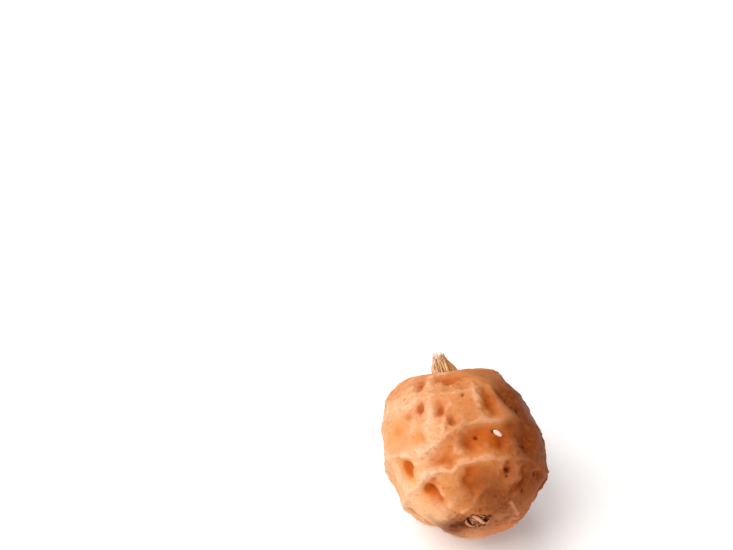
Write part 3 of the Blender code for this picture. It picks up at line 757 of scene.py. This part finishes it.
def strand_tree(name):
    """Turns guide lines into tapering round strands that wander more towards their tips."""
    tree, given, end = new_tree(name, (
        ("Guides", "Geometry", None), ("Thickness", "Float", 0.04 * MM), ("Tip", "Float", 0.35),
        ("Waviness", "Float", 0.05 * MM), ("Wave Scale", "Float", 1400.0), ("Sides", "Int", 4),
        ("Seed", "Int", 0), ("Finish", "Material", None)), "Strands")
    along = named(tree, "along")
    reach = times(tree, times(tree, along, given["Waviness"]), 2.0)
    moved = shaken(tree, given["Guides"], given["Seed"], given["Wave Scale"], 1.0, reach)
    curves = geometry(tree, "MeshToCurve", {"Mesh": moved})
    inputs = {"Value": along, "To Min": 1.0, "To Max": given["Tip"]}
    taper = node(tree, "ShaderNodeMapRange", inputs).outputs[0]
    radius = times(tree, times(tree, named(tree, "girth"), given["Thickness"]), taper)
    circle = {"Resolution": given["Sides"], "Radius": 1.0}
    profile = geometry(tree, "CurvePrimitiveCircle", circle)
    inputs = {"Curve": curves, "Profile Curve": profile, "Scale": radius, "Fill Caps": True}
    tubes = geometry(tree, "CurveToMesh", inputs)
    soft = geometry(tree, "SetShadeSmooth", {"Geometry": tubes})
    real = geometry(tree, "RealizeInstances", {"Geometry": soft})
    fill(tree, end, {0: geometry(tree, "SetMaterial", {"Geometry": real, "Material": given["Finish"]})})
    return tree


def flake_tree(name):
    """Stands a small ragged flake on each point, turned and sized by the point's own values."""
    tree, given, end = new_tree(name, (
        ("Places", "Geometry", None), ("Raggedness", "Float", 0.05 * MM), ("Detail", "Int", 2),
        ("Seed", "Int", 0), ("Finish", "Material", None)), "Flakes")
    ball = geometry(tree, "MeshIcoSphere", {"Radius": 1.0, "Subdivisions": given["Detail"]})
    spin = node(tree, "FunctionNodeEulerToRotation", {0: named(tree, "turn", "FLOAT_VECTOR")}).outputs[0]
    inputs = {"Points": given["Places"], "Instance": ball, "Rotation": spin,
              "Scale": named(tree, "size", "FLOAT_VECTOR")}
    flakes = geometry(tree, "InstanceOnPoints", inputs)
    real = geometry(tree, "RealizeInstances", {"Geometry": flakes})
    moved = shaken(tree, real, given["Seed"], 5200.0, 2.0, given["Raggedness"])
    soft = geometry(tree, "SetShadeSmooth", {"Geometry": moved})
    fill(tree, end, {0: geometry(tree, "SetMaterial", {"Geometry": soft, "Material": given["Finish"]})})
    return tree


def through_tree(name, mesh, tree, values):
    """Runs a mesh through a geometry node tree and keeps the result as a plain object."""
    source = linked(name, mesh)
    modifier = source.modifiers.new(tree.name, "NODES")
    modifier.node_group = tree
    inputs = {item.name: item.identifier for item in tree.interface.items_tree if item.in_out == "INPUT"}
    for label, value in values.items():
        modifier[inputs[label]] = value
    bpy.context.view_layer.update()
    graph = bpy.context.evaluated_depsgraph_get()
    grown = source.evaluated_get(graph)
    result = bpy.data.meshes.new_from_object(grown, preserve_all_data_layers=True, depsgraph=graph)
    source.modifiers.clear()
    source.data = result
    result.name = name
    return source


def guide_mesh(name, strands):
    """A mesh of open lines. Each strand is its points, its girth and its tone."""
    mesh = bpy.data.meshes.new(name)
    points, edges, along, girths, tones = [], [], [], [], []
    for line, girth, tone in strands:
        first = len(points)
        points += [tuple(p) for p in line]
        edges += [(first + i, first + i + 1) for i in range(len(line) - 1)]
        along += [i / (len(line) - 1) for i in range(len(line))]
        girths += [girth] * len(line)
        tones += [tone] * len(line)
    mesh.from_pydata(points, edges, [])
    add_values(mesh, "along", along)
    add_values(mesh, "girth", girths)
    add_values(mesh, "tone", tones)
    return mesh


# Strands

# Radius of the stub's foot, and how deep in the socket its strands start
PLUG = SOCKET_RADIUS * 0.9 - GAP
SUNK = 0.25 * MM
LINE_STEPS = 8
SHEATH_STRIPS = 13


def stalk_centre(share):
    """The stalk stub's middle line, from the socket's rim to its tip."""
    base = MIDDLE + STALK_WAY * STALK_END_HEIGHT
    return base + STALK_WAY * (STALK_LENGTH * share) - SIDE * STRAND_LEAN * share ** 1.6


def standing_line(out, length, start, splay, power, twist=0.0):
    """A line up the stub from inside the socket, its distance from the middle going from start to splay."""
    side = STALK_WAY.cross(out)
    line = []
    for step in range(LINE_STEPS + 1):
        t = step / LINE_STEPS
        reach = start * (1 - t ** power) + splay * t ** power
        foot = stalk_centre(length * t) if step else stalk_centre(0) - STALK_WAY * SUNK
        line.append(foot + out * reach + side * (twist * t * t))
    return line


def stalk_strands(settings):
    """Fibres of the stub: straw-coloured and loose on one side, thick and brown on the other."""
    draw = random.Random(SEED + 20)
    strands = []
    for _ in range(settings.strands):
        turn = 2 * math.pi * draw.random()
        out = FACE * math.cos(turn) + SIDE * math.sin(turn)
        right = math.sin(turn)
        start = PLUG * (0.12 + 0.88 * draw.random() ** 0.5)
        loose = right < -0.1 and draw.random() < 0.16
        length = draw.uniform(0.5, 0.9) if loose else draw.uniform(0.72, 1.0)
        splay = PLUG * draw.uniform(0.10, 0.42) + (PLUG * draw.uniform(0.35, 0.7) if loose else 0)
        twist = draw.uniform(-0.3, 0.3) * PLUG * 0.5
        girth = draw.uniform(0.8, 2.0) * (1.3 if right > 0.35 and draw.random() < 0.6 else 1.0)
        tone = draw.uniform(0.35, 1.0) if right < 0.35 else draw.uniform(0.0, 0.6)
        strands.append((standing_line(out, length, start, splay, 2.4, twist), girth, tone))
    return strands


def sheath_strands():
    """Broad remains of the sheath that lie along the stub's brown side."""
    draw = random.Random(SEED + 21)
    strands = []
    for i in range(SHEATH_STRIPS):
        turn = math.radians(20 + 150 * i / (SHEATH_STRIPS - 1) + draw.uniform(-5, 5))
        out = FACE * math.cos(turn) + SIDE * math.sin(turn)
        line = standing_line(out, draw.uniform(0.6, 0.93), PLUG * 0.92, PLUG * 0.2, 2.2)
        strands.append((line, draw.uniform(2.4, 3.4), draw.uniform(0.05, 0.4)))
    return strands


def curl(base, way, across, rise, radius, turn_back, swing):
    """A line that stands out of the scar and curls back over."""
    side = way.cross(across)
    line = []
    for step in range(LINE_STEPS + 1):
        t = step / LINE_STEPS
        angle = turn_back * t
        forward = radius * (1 - math.cos(angle))
        up = rise * t + radius * math.sin(angle)
        line.append(base + way * up + across * forward + side * (swing * t * t))
    return line


def rounded(corners):
    """A smooth line through the corners."""
    line = []
    for i in range(len(corners) - 1):
        a, b, c, d = (corners[min(max(i + k, 0), len(corners) - 1)] for k in (-1, 0, 1, 2))
        for step in range(4):
            t = step / 4
            square, cube = 2 * a - 5 * b + 4 * c - d, 3 * b - a - 3 * c + d
            line.append(0.5 * (2 * b + (c - a) * t + square * t * t + cube * t ** 3))
    return line + [corners[-1]]


# Thick curls in the scar: girth, tone, (right, up, out of the pit's floor) points in mm
THICK_CURLS = (
    (4.8, 0.95, ((-0.34, 0.44, 0.16), (-0.16, 0.50, 0.46), (0.08, 0.42, 0.66), (0.28, 0.18, 0.76),
                 (0.42, -0.10, 0.74), (0.48, -0.36, 0.60), (0.50, -0.50, 0.44))),
    (3.0, 0.70, ((-0.80, 0.12, 0.30), (-0.76, -0.10, 0.50), (-0.60, -0.34, 0.60), (-0.42, -0.54, 0.60),
                 (-0.24, -0.70, 0.48))),
    (2.6, 0.45, ((-0.46, -0.06, 0.12), (-0.40, 0.12, 0.38), (-0.22, 0.22, 0.54), (-0.02, 0.14, 0.60),
                 (0.06, -0.08, 0.54), (-0.04, -0.26, 0.40))),
    (2.2, 0.50, ((0.00, 0.60, 0.30), (0.22, 0.62, 0.52), (0.46, 0.50, 0.60), (0.62, 0.28, 0.54),
                 (0.66, 0.04, 0.40))),
    (2.6, 0.60, ((0.26, -0.30, 0.20), (0.44, -0.46, 0.50), (0.68, -0.46, 0.58), (0.88, -0.30, 0.50))),
    (2.2, 0.50, ((-0.10, -0.40, 0.20), (-0.02, -0.60, 0.48), (-0.06, -0.80, 0.56), (-0.16, -0.94, 0.52))),
    (1.6, 0.35, ((0.16, -0.46, 0.20), (0.24, -0.66, 0.46), (0.24, -0.84, 0.54), (0.34, -0.98, 0.48))),
    (1.8, 0.45, ((-0.58, 0.26, 0.20), (-0.48, 0.46, 0.42), (-0.30, 0.60, 0.52), (-0.10, 0.68, 0.50))),
)
# Height in mm over the pit's floor that the curls start from
PIT_LIFT = 0.18


def root_strands(settings):
    """Curled fibres in the scar and a few that lie on the rough skin beside it."""
    draw = random.Random(SEED + 30)
    way = scar_way()
    level = (FACE - way * FACE.dot(way)).normalized()
    other = way.cross(level)
    floor = MIDDLE + way * (SCAR_HEIGHT - SCAR_DEPTH + PIT_LIFT * MM)
    strands = []
    for i in range(settings.root_strands):
        turn = 2 * math.pi * draw.random()
        reach = SCAR_RADIUS * 0.75 * draw.random() ** 0.6
        base = floor + (level * math.cos(turn) + other * math.sin(turn)) * reach
        heading = turn + math.pi * draw.uniform(0.6, 1.4)
        across = level * math.cos(heading) + other * math.sin(heading)
        line = curl(base, way, across, draw.uniform(0.05, 0.3) * MM, draw.uniform(0.14, 0.34) * MM,
                    math.radians(draw.uniform(110, 260)), draw.uniform(-0.25, 0.25) * MM)
        strands.append((line, draw.uniform(0.6, 1.4), draw.uniform(0.1, 0.8)))
    for girth, tone, line in THICK_CURLS:
        corners = [floor - other * right * MM + level * up * MM + way * (out - PIT_LIFT) * MM
                   for right, up, out in line]
        strands.append((rounded(corners), girth, tone))
    return strands


def on_skin(polar, lon, settings):
    """One point of the skin and the direction straight out of it."""
    step = 0.8
    polars = np.array([polar, polar + step, polar, polar - step, polar], float)
    lons = np.array([lon, lon, lon + step, lon, lon - step], float)
    points, *_ = skin_points(polars, lons, settings)
    out = Vector(points[1] - points[3]).cross(Vector(points[2] - points[4])).normalized()
    point = Vector(points[0])
    if out.dot(point - MIDDLE) < 0:
        out = -out
    return point, out


def flat_turn(out, along):
    """Euler angles that lay a flake's own X along the skin and its Z straight out."""
    x = (along - out * along.dot(out)).normalized()
    return Matrix((x, out.cross(x), out)).transposed().to_euler()


# Flakes: polar, lon, turn on the skin in degrees, length, width and thickness in mm, tone
FLAKES = (
    (102.6, 25.2, -52, 0.42, 0.17, 0.12, 1.0),
    (60, 1.5, 30, 0.16, 0.05, 0.03, 0.4),
    (54, -35, 70, 0.18, 0.06, 0.03, 0.2),
)


def colour_of(name, description, default):
    return FloatVectorProperty(name=name, description=description, subtype="COLOR", default=default)


def length_of(name, description, default):
    return FloatProperty(name=name, description=description, default=default, unit="LENGTH", precision=6)


class TuberSettings(bpy.types.PropertyGroup):
    """Sizes and colours of the skin."""

    columns: IntProperty(name="Columns", description="Faces round the tuber", default=344, min=60)
    fold_height: length_of("Fold height", "Height of the broad folds", 0.085 * MM)
    wrinkle_height: length_of("Wrinkle height", "Height of the fine wrinkles", 0.045 * MM)
    torn_height: length_of("Torn edge", "Height of the edges of torn skin", 0.11 * MM)
    scar_height: length_of("Scar folds", "Height of the folds round the root scar", 0.08 * MM)
    ring_edge: length_of("Ring edge", "Height of the thin edge along each ring", 0.05 * MM)
    skin_colour: colour_of("Skin", "Colour of the plain skin", (0.55, 0.212, 0.068))
    # Hollows: painted shade in the hollows; the same colour also gives the skin its broad real mottling.
    hollow_shade_and_mottle_colour: colour_of("Hollows", "Colour of the skin in the hollows", (0.45, 0.088, 0.005))
    # Amber: the hollows' painted shade as it is painted on the side towards the key light.
    lit_hollow_colour: colour_of("Amber", "Colour of hollows on the paler side", (0.63, 0.26, 0.06))
    # Ridges: pale crests, partly real and partly painted highlight; also the real pale flecks of rough
    # skin.
    ridge_highlight_and_fleck_colour: colour_of("Ridges", "Colour along the ridges", (0.75, 0.45, 0.29))
    # Creases: painted shade in the creases; the same colour also darkens the fine grain and specks.
    crease_shade_and_grain_colour: colour_of("Creases", "Colour in the creases", (0.30, 0.052, 0.003))
    # Scar: dark stains and painted shade round the root end.
    scar_colour: colour_of("Scar", "Colour round the root scar", (0.16, 0.034, 0.008))
    # Pale side: painted light on the side that faces the key light.
    lit_side_colour: colour_of("Pale side", "Colour of the paler side", (0.68, 0.40, 0.22))
    # Brown side: painted shade on the side away from the key light.
    shaded_side_colour: colour_of("Brown side", "Colour of the browner side", (0.17, 0.036, 0.006))
    # Eyes: painted shade at the bottom of the eyes, also the colour of the pores' dark specks.
    eye_shade_and_speck_colour: colour_of("Eyes", "Colour at the bottom of the eyes", (0.075, 0.018, 0.005))


class FibreSettings(bpy.types.PropertyGroup):
    """Sizes and colours of the fibres at both ends."""

    strands: IntProperty(name="Stalk strands", description="Fibres in the stalk stub", default=100, min=10)
    root_strands: IntProperty(name="Root strands", description="Fine curled fibres in the scar", default=46,
                              min=5)
    thickness: length_of("Thickness", "Half the width of a fibre at its foot", 0.042 * MM)
    waviness: length_of("Waviness", "How far a fibre's tip wanders", 0.07 * MM)
    straw: colour_of("Straw", "Colour of the palest fibres", (0.93, 0.60, 0.31))
    sheath: colour_of("Sheath", "Colour of the brown fibres", (0.38, 0.13, 0.035))
    root_pale: colour_of("Root fibre", "Colour of the palest root fibres", (0.66, 0.29, 0.15))
    root_dark: colour_of("Root shade", "Colour of the darkest root fibres", (0.15, 0.05, 0.02))
    scrap: colour_of("Scraps", "Colour of the whitest dry scraps", (0.84, 0.62, 0.54))


class StageSettings(bpy.types.PropertyGroup):
    """Table, lights and camera."""

    table_colour: colour_of("Table", "Colour of the table", (0.90, 0.89, 0.89))
    key_power: FloatProperty(name="Key light", description="Power of the soft light from the left",
                             default=0.70, unit="POWER")
    sky: FloatProperty(name="Sky", description="Strength of the light from all round", default=0.43)
    distance: FloatProperty(name="Camera distance", description="From the camera to the nut", default=0.150,
                            unit="LENGTH")


def stain_and_shade_mask(ways):
    """How dark the root end's stains and painted shade are at each direction."""
    mask = np.zeros(len(ways))
    ragged = 1 + 0.45 * field(ways, 7, (2, 2, 9))
    for polar, lon, radius, strength in STAINS:
        near = angle_from(ways, place(polar, lon)) / radius * ragged
        mask = np.maximum(mask, strength * np.exp(-(near ** 3)))
    return mask


def shade_side_mask(ways):
    """0 on the side towards the key light and 1 on the side away from it, with its patches: painted light
    and painted shade over some real difference in tone.
    """
    side = 0.5 + 0.5 * (ways @ np.array(SIDE)) + 0.2 * field(ways, 2.4, (7, 7, 1))
    for polar, lon, radius, more in PATCHES:
        side += more * spot(ways, place(polar, lon), radius)
    return np.clip(side, 0, 1)


class TIGERNUT_OT_skin(bpy.types.Operator):
    """Grow the skin over the tuber's solid"""

    bl_idname = "tiger_nut.skin"
    bl_label = "Grow the skin"

    def execute(self, context):
        settings = context.scene.tuber_settings
        lon = np.arange(settings.columns) * 360.0 / settings.columns - 180
        polars = []
        for band, count in enumerate(BAND_ROWS):
            start, end = along_ring(RINGS[band], lon), along_ring(RINGS[band + 1], lon)
            polars += [start + (end - start) * i / count for i in range(count)]
        polars.append(along_ring(RINGS[-1], lon))
        grid = np.array(polars)
        points, relief, eyes, rough, edges = skin_points(grid.ravel(), np.tile(lon, len(grid)), settings)
        rows = list(points.reshape(len(grid), len(lon), 3))
        scar = scar_way()
        socket = ((STALK_END_HEIGHT - SOCKET_DEPTH, SOCKET_RADIUS), (STALK_END_HEIGHT, SOCKET_RADIUS),
                  (STALK_END_HEIGHT, SOCKET_RADIUS + LIP_WIDTH))
        before = [round_row(STALK_WAY, height, radius, lon, 0) for height, radius in socket]
        after = []
        for height, radius in PIT:
            row = round_row(scar, SCAR_HEIGHT + height, radius, lon, 1, PIT_UNEVENNESS)
            shake = field((row - np.array(MIDDLE)) / BODY_RADIUS, 24, (1, 1, 4))
            after.append(row + np.array(scar) * (PIT_SHAKE * shake)[:, None])
        first = MIDDLE + STALK_WAY * (STALK_END_HEIGHT - SOCKET_DEPTH)
        last = MIDDLE + scar * (SCAR_HEIGHT - SCAR_DEPTH)
        obj = grid_object("tuber_skin", before + rows + after, first, last)

        height = relief.reshape(grid.shape)
        # The ridge against its surroundings and the depth of the hollows: the masks of the painted
        # highlight on ridges and of the painted shade in creases and hollows.
        over = blurred(height, 1, 1) - blurred(height, 9, 8)
        ridge = np.clip(over / np.where(over > 0, FULL_RIDGE, FULL_CREASE), -1, 1)
        deep = np.clip(-blurred(height, 3, 3) / FULL_DEPTH, 0, 1)
        ways = unit(points - np.array(MIDDLE))
        # The socket's wall and the pit in the root scar take fixed values: darker in the socket and darkest
        # in the pit, painted shade in these recesses.
        for name, values, socket_value, pit_value in (
            ("ridge", ridge.ravel(), 0, -0.6), ("deep", deep.ravel(), 0.4, 1), ("eye", eyes, 0.2, 0.75),
            ("rough", rough, 0.5, 1), ("edge", edges, 0, 0),
            ("scar", stain_and_shade_mask(ways), 0.2, 1), ("side", shade_side_mask(ways), 0.4, 0.6),
        ):
            head = np.full(len(before) * len(lon), socket_value)
            tail = np.full(len(after) * len(lon), pit_value)
            add_values(obj.data, name, np.concatenate([head, values, tail, [socket_value, pit_value]]))
        obj.data.materials.append(skin_material(settings))
        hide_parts("tuber")
        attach(obj, "root")
        return {"FINISHED"}


def strand_values(settings, finish, tip, wave_scale, seed):
    """What the strand tree is given."""
    return {"Thickness": settings.thickness, "Tip": tip, "Waviness": settings.waviness,
            "Wave Scale": wave_scale, "Sides": 5, "Seed": seed, "Finish": finish}


class TIGERNUT_OT_stalk_fibres(bpy.types.Operator):
    """Stand the torn fibres of the runner in the stalk end's socket"""

    bl_idname = "tiger_nut.stalk_fibres"
    bl_label = "Stand the stalk fibres"

    def execute(self, context):
        settings = context.scene.fibre_settings
        guides = guide_mesh("stalk_fibres", stalk_strands(settings) + sheath_strands())
        finish = fibre_material("stalk_straw", settings.straw, settings.sheath, 0.62)
        values = strand_values(settings, finish, 0.3, 1300.0, 4)
        obj = through_tree("stalk_fibres", guides, shared_group("fibre_strands", strand_tree), values)
        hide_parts("stalk_tuft")
        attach(obj, "root")
        return {"FINISHED"}


class TIGERNUT_OT_root_fibres(bpy.types.Operator):
    """Curl the root fibres in the scar"""

    bl_idname = "tiger_nut.root_fibres"
    bl_label = "Curl the root fibres"

    def execute(self, context):
        settings = context.scene.fibre_settings
        guides = guide_mesh("root_fibres", root_strands(settings))
        finish = fibre_material("root_hair", settings.root_pale, settings.root_dark, 0.68)
        values = strand_values(settings, finish, 0.4, 1700.0, 9)
        obj = through_tree("root_fibres", guides, shared_group("fibre_strands", strand_tree), values)
        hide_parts("root_tuft")
        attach(obj, "root")
        return {"FINISHED"}


class TIGERNUT_OT_scraps(bpy.types.Operator):
    """Lay the dry scraps that are caught in the skin's eyes"""

    bl_idname = "tiger_nut.scraps"
    bl_label = "Lay the dry scraps"

    def execute(self, context):
        scene = context.scene
        points, turns, sizes, tones = [], [], [], []
        for polar, lon, turn, length, width, thickness, tone in FLAKES:
            point, out = on_skin(polar, lon, scene.tuber_settings)
            level = (SIDE - out * SIDE.dot(out)).normalized()
            angle = math.radians(turn)
            along = level * math.cos(angle) + out.cross(level) * math.sin(angle)
            points.append(tuple(point + out * thickness * 0.35 * MM))
            turns += list(flat_turn(out, along))
            sizes += [length * MM, width * MM, thickness * MM]
            tones.append(tone)
        mesh = bpy.data.meshes.new("dry_scraps")
        mesh.from_pydata(points, [], [])
        for name, values in (("turn", turns), ("size", sizes)):
            layer = mesh.attributes.new(name, "FLOAT_VECTOR", "POINT")
            layer.data.foreach_set("vector", np.array(values, np.float32))
        add_values(mesh, "tone", tones)
        add_values(mesh, "along", [1.0] * len(tones))
        settings = scene.fibre_settings
        finish = fibre_material("dry_scrap", settings.scrap, settings.root_pale, 0.6)
        values = {"Raggedness": 0.1 * MM, "Detail": 3, "Seed": 2, "Finish": finish}
        obj = through_tree("dry_scraps", mesh, shared_group("skin_flakes", flake_tree), values)
        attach(obj, "root")
        return {"FINISHED"}


class TIGERNUT_OT_stage(bpy.types.Operator):
    """Set the table, the lights and the camera"""

    bl_idname = "tiger_nut.stage"
    bl_label = "Set the stage"

    PHOTO_WIDTH, PHOTO_HEIGHT = 733, 550
    NUT_PIXEL = (466.0, 453.5)
    AZIMUTH, ELEVATION = math.radians(-13.7), math.radians(50)
    LENS, SENSOR = 100, 36

    def execute(self, context):
        settings = context.scene.stage_settings
        self.make_table(settings)
        self.make_lights(context.scene, settings)
        self.make_camera(context.scene, settings)
        return {"FINISHED"}

    def make_table(self, settings):
        mesh = bpy.data.meshes.new("table")
        half = 0.9
        corners = [(-half, -half, 0), (half, -half, 0), (half, half, 0), (-half, half, 0)]
        mesh.from_pydata(corners, [], [(0, 1, 2, 3)])
        table = linked("table", mesh)
        material, tree, shader = new_material("white_table")
        point = node(tree, "ShaderNodeTexCoord").outputs["Object"]
        tone = node(tree, "ShaderNodeTexNoise", {"Vector": point, "Scale": 60.0, "Detail": 2.0})
        faint = mask_range(tree, tone.outputs["Fac"], 0.3, 0.7, 0.0, 0.04)
        colour = mix(tree, faint, settings.table_colour, (0.8, 0.8, 0.8))
        fill(tree, shader, {"Base Color": colour, "Roughness": 0.55, "Specular IOR Level": 0.2})
        mesh.materials.append(material)

    def make_lights(self, scene, settings):
        world = bpy.data.worlds.new("studio")
        world.use_nodes = True
        background = world.node_tree.nodes["Background"]
        background.inputs["Color"].default_value = (1, 0.985, 0.97, 1)
        background.inputs["Strength"].default_value = settings.sky
        scene.world = world
        lights = (
            ("key", (-0.14, 0.0, 0.20), 0.26, settings.key_power, (1, 0.985, 0.96)),
            ("back", (0.02, 0.24, 0.20), 0.14, settings.key_power * 0.40, (1, 1, 1)),
            ("front", (-0.03, -0.24, 0.12), 0.20, settings.key_power * 0.48, (1, 0.99, 0.98)),
        )
        for name, position, size, power, colour in lights:
            data = bpy.data.lights.new(name, "AREA")
            data.size, data.energy, data.color = size, power, colour
            lamp = bpy.data.objects.new(name, data)
            lamp.location = position
            lamp.rotation_euler = (MIDDLE - Vector(position)).to_track_quat("-Z", "Y").to_euler()
            scene.collection.objects.link(lamp)
        scene.view_settings.view_transform = "Standard"

    def make_camera(self, scene, settings):
        data = bpy.data.cameras.new("camera")
        data.lens, data.sensor_width, data.clip_start = self.LENS, self.SENSOR, 0.001
        focal = self.LENS / self.SENSOR * self.PHOTO_WIDTH
        x, y = self.NUT_PIXEL
        sight = Vector(((x - self.PHOTO_WIDTH / 2) / focal, -(y - self.PHOTO_HEIGHT / 2) / focal, -1))
        back = Vector((math.sin(self.AZIMUTH) * math.cos(self.ELEVATION),
                       -math.cos(self.AZIMUTH) * math.cos(self.ELEVATION), math.sin(self.ELEVATION)))
        camera = bpy.data.objects.new("camera", data)
        camera.rotation_mode = "QUATERNION"
        aim = sight.normalized().rotation_difference(Vector((0, 0, -1)))
        camera.rotation_quaternion = (-back).to_track_quat("-Z", "Y") @ aim
        camera.location = MIDDLE + back * settings.distance * sight.length
        scene.collection.objects.link(camera)
        scene.camera = camera


OPERATORS = (TIGERNUT_OT_skin, TIGERNUT_OT_stalk_fibres, TIGERNUT_OT_root_fibres, TIGERNUT_OT_scraps,
             TIGERNUT_OT_stage)


class TIGERNUT_PT_panel(bpy.types.Panel):
    """Lists the steps that make the nut"""

    bl_idname = "TIGERNUT_PT_panel"
    bl_label = "Tiger nut"
    bl_space_type = "VIEW_3D"
    bl_region_type = "UI"
    bl_category = "Tiger nut"

    def draw(self, context):
        for operator in OPERATORS:
            self.layout.operator(operator.bl_idname)


SETTINGS = (("tuber_settings", TuberSettings), ("fibre_settings", FibreSettings),
            ("stage_settings", StageSettings))
CLASSES = (*[group for _, group in SETTINGS], *OPERATORS, TIGERNUT_PT_panel)


def register():
    for cls in CLASSES:
        bpy.utils.register_class(cls)
    for name, group in SETTINGS:
        setattr(bpy.types.Scene, name, PointerProperty(type=group))


def unregister():
    for name, _ in SETTINGS:
        delattr(bpy.types.Scene, name)
    for cls in reversed(CLASSES):
        bpy.utils.unregister_class(cls)


def main():
    register()
    bpy.ops.tiger_nut.skin()
    bpy.ops.tiger_nut.stalk_fibres()
    bpy.ops.tiger_nut.root_fibres()
    bpy.ops.tiger_nut.scraps()
    bpy.ops.tiger_nut.stage()


if __name__ == "__main__":
    main()
